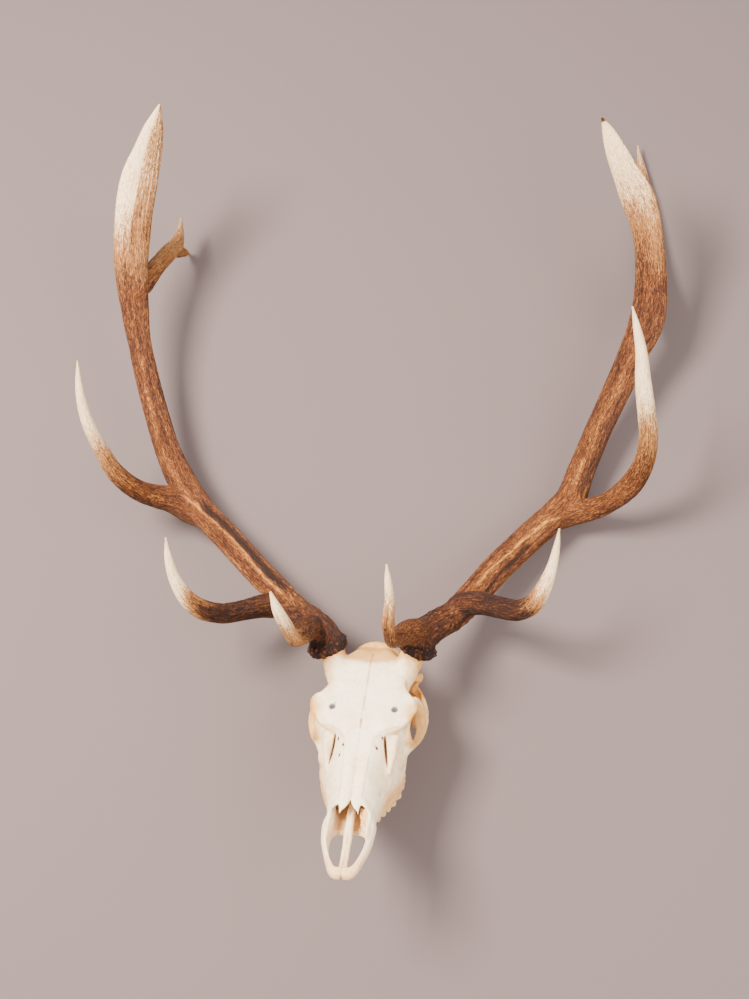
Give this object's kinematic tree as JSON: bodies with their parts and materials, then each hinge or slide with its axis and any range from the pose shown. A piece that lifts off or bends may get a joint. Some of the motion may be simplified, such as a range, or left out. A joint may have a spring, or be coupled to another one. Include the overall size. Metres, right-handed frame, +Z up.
{
  "type": "elk skull with antlers",
  "caption": "Cleaned skull of a bull elk without lower jaw, both branched antlers attached, lying on its back as it settles on a flat surface.",
  "frame": {"origin": "under the middle of the object's box, on the surface that it lies on", "axes": "+Z up off the surface and out of the face's front, +Y from the nose towards the antler tips, +X towards the animal's left"},
  "size_m": [1.0701, 1.5029, 0.3634],
  "materials": {
    "bone": "matt, dry bone",
    "tooth_enamel": "satin, worn enamel",
    "antler_bark": "matt, grooved",
    "antler_tine": "satin, polished tips"
  },
  "bodies": {
    "root": {"skull": "bone", "tooth_left_1": "tooth_enamel", "tooth_left_2": "tooth_enamel", "tooth_left_3": "tooth_enamel", "tooth_left_4": "tooth_enamel", "tooth_left_5": "tooth_enamel", "tooth_left_6": "tooth_enamel", "tooth_right_1": "tooth_enamel", "tooth_right_2": "tooth_enamel", "tooth_right_3": "tooth_enamel", "tooth_right_4": "tooth_enamel", "tooth_right_5": "tooth_enamel", "tooth_right_6": "tooth_enamel", "antler_left_beam": "antler_bark", "antler_left_brow_tine": "antler_tine", "antler_left_bez_tine": "antler_tine", "antler_left_trez_tine": "antler_tine", "antler_left_dagger_tine": "antler_tine", "antler_left_end_branch": "antler_tine", "antler_right_beam": "antler_bark", "antler_right_brow_tine": "antler_tine", "antler_right_bez_tine": "antler_tine", "antler_right_trez_tine": "antler_tine", "antler_right_dagger_tine": "antler_tine", "antler_right_end_branch": "antler_tine"}
  },
  "joints": []
}
